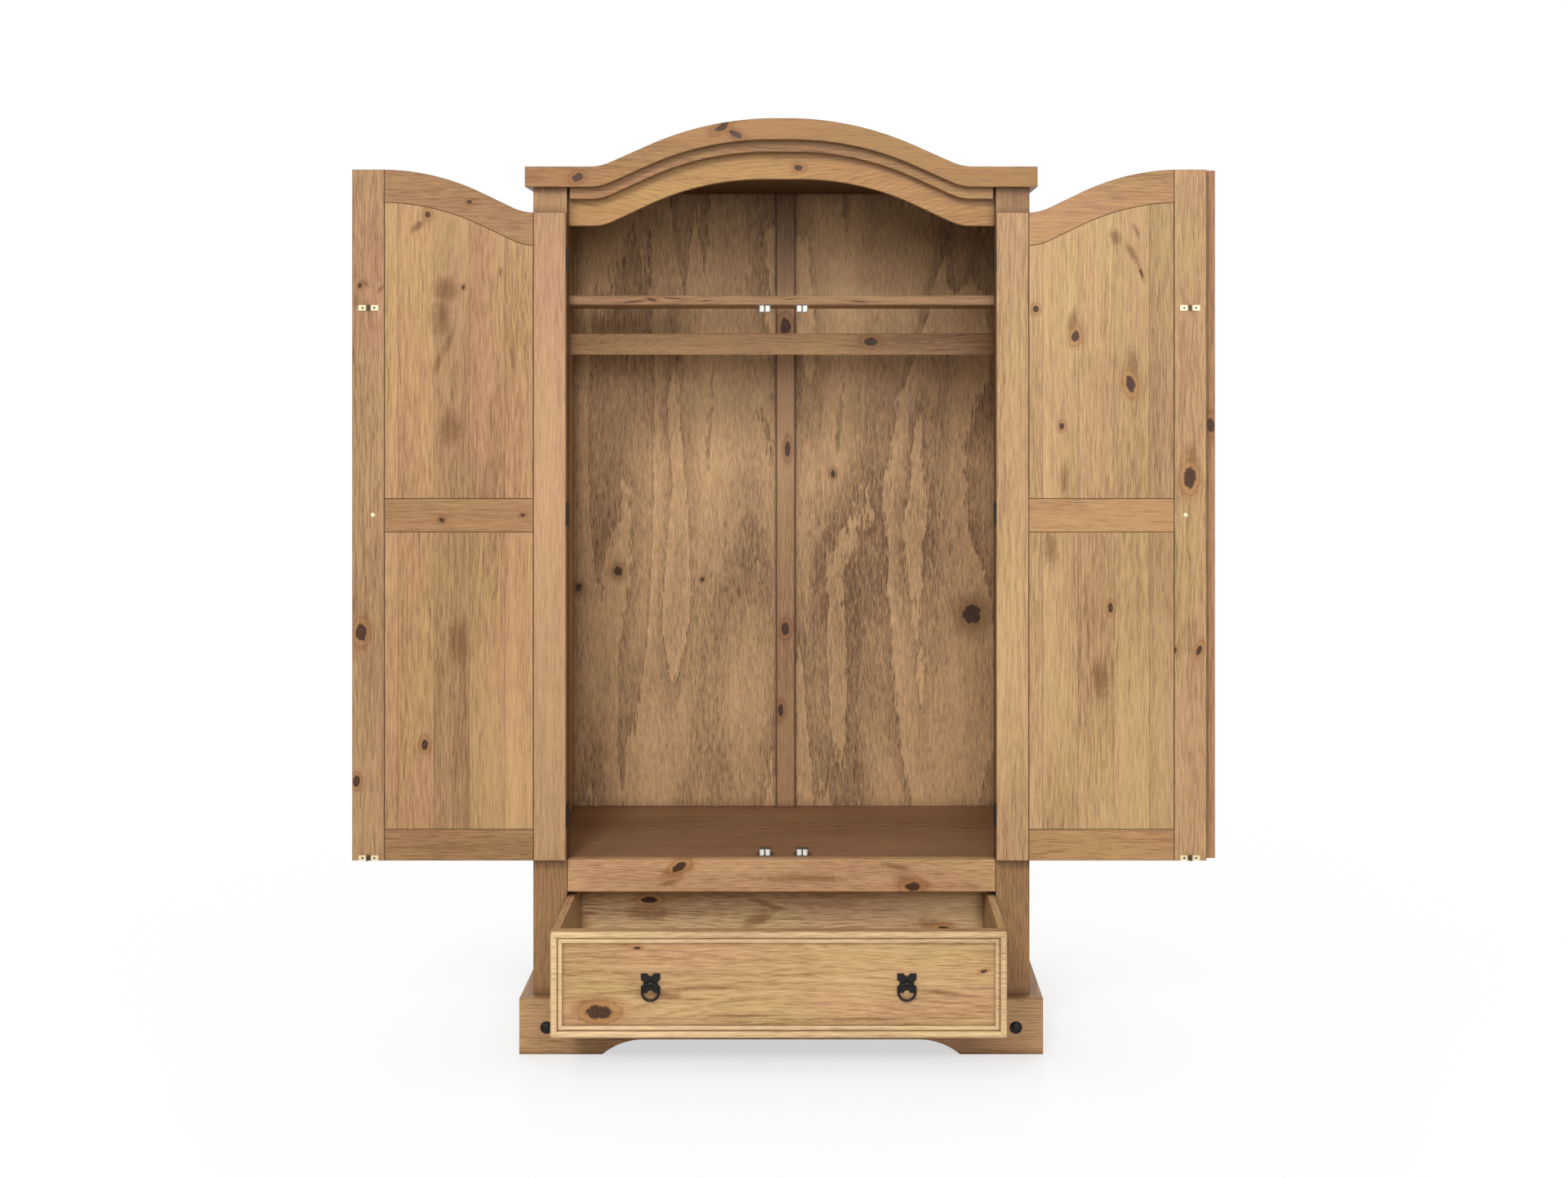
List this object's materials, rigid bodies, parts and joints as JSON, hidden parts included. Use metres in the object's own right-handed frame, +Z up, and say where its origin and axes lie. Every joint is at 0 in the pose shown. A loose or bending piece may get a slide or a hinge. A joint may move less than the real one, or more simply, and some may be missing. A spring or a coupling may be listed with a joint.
{
  "type": "wardrobe",
  "caption": "Arch-top pine wardrobe with framed doors folded open, a pulled-out drawer with ring pulls, a hat shelf, a hanging rail and a bracket-footed plinth.",
  "frame": {"origin": "floor level, under the middle of the carcass", "axes": "+Z up, -Y towards the user, +X to the user's right"},
  "size_m": [1.749, 0.8312, 1.896],
  "materials": {
    "waxed_pine": "knotty pine, waxed to a soft sheen",
    "inner_pine": "knotty pine, darker and less waxed inside",
    "pale_pine": "pale unwaxed pine",
    "plywood": "brown-stained pine plywood",
    "black_iron": "black, satin",
    "dark_steel": "dark oiled steel",
    "catch_steel": "dull zinc-plated steel sheet",
    "pale_brass": "pale brass plate, satin",
    "white_nylon": "white nylon, matt"
  },
  "bodies": {
    "carcass": {"front_posts": "waxed_pine", "rear_posts": "waxed_pine", "side_rails": "waxed_pine", "side_panels": "waxed_pine", "front_rail": "waxed_pine", "frieze_board": "waxed_pine", "frieze_moulding": "waxed_pine", "cornice_front": "waxed_pine", "cornice_returns": "waxed_pine", "top_board": "plywood", "cabinet_floor": "inner_pine", "shelf": "inner_pine", "cleats": "inner_pine", "hanging_rail": "pale_pine", "hanging_rail_blocks": "inner_pine", "back_panels": "plywood", "back_batten": "inner_pine", "rear_rails": "inner_pine", "plinth_front": "waxed_pine", "plinth_sides": "waxed_pine", "plinth_studs": "black_iron", "drawer_runners": "inner_pine", "carcass_hinge_leaves": "dark_steel", "hinge_pins": "dark_steel", "catch_housings": "catch_steel"},
    "left_door": {"left_door_stiles": "waxed_pine", "left_door_rails": "waxed_pine", "left_door_panels": "waxed_pine", "left_strikes": "pale_brass", "left_handle_plate": "black_iron", "left_handle_screw": "pale_brass", "left_hinge_leaves": "dark_steel"},
    "right_door": {"right_door_stiles": "waxed_pine", "right_door_rails": "waxed_pine", "right_door_panels": "waxed_pine", "right_strikes": "pale_brass", "right_handle_plate": "black_iron", "right_handle_screw": "pale_brass", "right_hinge_leaves": "dark_steel", "astragal": "waxed_pine"},
    "drawer": {"drawer_front": "waxed_pine", "drawer_moulding": "waxed_pine", "drawer_sides": "pale_pine", "drawer_back": "pale_pine", "drawer_bottom": "pale_pine", "drawer_handle_plates": "black_iron", "drawer_handle_screws": "pale_brass"},
    "left_ring": {"left_handle_ring": "black_iron"},
    "right_ring": {"right_handle_ring": "black_iron"},
    "drawer_left_ring": {"drawer_ring_left": "black_iron"},
    "drawer_right_ring": {"drawer_ring_right": "black_iron"},
    "upper_left_roller_outer_body": {"upper_left_roller_outer": "white_nylon"},
    "upper_left_roller_inner_body": {"upper_left_roller_inner": "white_nylon"},
    "upper_right_roller_inner_body": {"upper_right_roller_inner": "white_nylon"},
    "upper_right_roller_outer_body": {"upper_right_roller_outer": "white_nylon"},
    "lower_left_roller_outer_body": {"lower_left_roller_outer": "white_nylon"},
    "lower_left_roller_inner_body": {"lower_left_roller_inner": "white_nylon"},
    "lower_right_roller_inner_body": {"lower_right_roller_inner": "white_nylon"},
    "lower_right_roller_outer_body": {"lower_right_roller_outer": "white_nylon"}
  },
  "joints": [
    {"name": "left_door_hinge", "type": "hinge", "parent": "carcass", "child": "left_door", "pos_m": [-0.4345, -0.2758, 1.093], "axis": [0, 0, 1], "range_deg": [0, 180]},
    {"name": "right_door_hinge", "type": "hinge", "parent": "carcass", "child": "right_door", "pos_m": [0.4345, -0.2758, 1.093], "axis": [0, 0, -1], "range_deg": [0, 180]},
    {"name": "drawer_slide", "type": "slide", "parent": "carcass", "child": "drawer", "axis": [0, -1, 0], "range_m": [-0.284, 0.036]},
    {"name": "left_ring_swing", "type": "hinge", "parent": "left_door", "child": "left_ring", "pos_m": [-0.826, -0.2739, 1.092], "axis": [1, 0, 0], "range_deg": [0, 165]},
    {"name": "right_ring_swing", "type": "hinge", "parent": "right_door", "child": "right_ring", "pos_m": [0.8185, -0.2739, 1.092], "axis": [1, 0, 0], "range_deg": [0, 165]},
    {"name": "drawer_left_ring_swing", "type": "hinge", "parent": "drawer", "child": "drawer_left_ring", "pos_m": [-0.244, -0.5537, 0.218], "axis": [-1, 0, 0], "range_deg": [0, 165]},
    {"name": "drawer_right_ring_swing", "type": "hinge", "parent": "drawer", "child": "drawer_right_ring", "pos_m": [0.244, -0.5537, 0.218], "axis": [-1, 0, 0], "range_deg": [0, 165]},
    {"name": "upper_left_roller_outer_spring", "type": "slide", "parent": "carcass", "child": "upper_left_roller_outer_body", "axis": [-1, 0, 0], "range_m": [0, 0.0012], "stiffness_N_per_m": 3000, "springref_m": -0.001},
    {"name": "upper_left_roller_inner_spring", "type": "slide", "parent": "carcass", "child": "upper_left_roller_inner_body", "axis": [1, 0, 0], "range_m": [0, 0.0012], "stiffness_N_per_m": 3000, "springref_m": -0.001},
    {"name": "upper_right_roller_inner_spring", "type": "slide", "parent": "carcass", "child": "upper_right_roller_inner_body", "axis": [-1, 0, 0], "range_m": [0, 0.0012], "stiffness_N_per_m": 3000, "springref_m": -0.001},
    {"name": "upper_right_roller_outer_spring", "type": "slide", "parent": "carcass", "child": "upper_right_roller_outer_body", "axis": [1, 0, 0], "range_m": [0, 0.0012], "stiffness_N_per_m": 3000, "springref_m": -0.001},
    {"name": "lower_left_roller_outer_spring", "type": "slide", "parent": "carcass", "child": "lower_left_roller_outer_body", "axis": [-1, 0, 0], "range_m": [0, 0.0012], "stiffness_N_per_m": 3000, "springref_m": -0.001},
    {"name": "lower_left_roller_inner_spring", "type": "slide", "parent": "carcass", "child": "lower_left_roller_inner_body", "axis": [1, 0, 0], "range_m": [0, 0.0012], "stiffness_N_per_m": 3000, "springref_m": -0.001},
    {"name": "lower_right_roller_inner_spring", "type": "slide", "parent": "carcass", "child": "lower_right_roller_inner_body", "axis": [-1, 0, 0], "range_m": [0, 0.0012], "stiffness_N_per_m": 3000, "springref_m": -0.001},
    {"name": "lower_right_roller_outer_spring", "type": "slide", "parent": "carcass", "child": "lower_right_roller_outer_body", "axis": [1, 0, 0], "range_m": [0, 0.0012], "stiffness_N_per_m": 3000, "springref_m": -0.001}
  ]
}
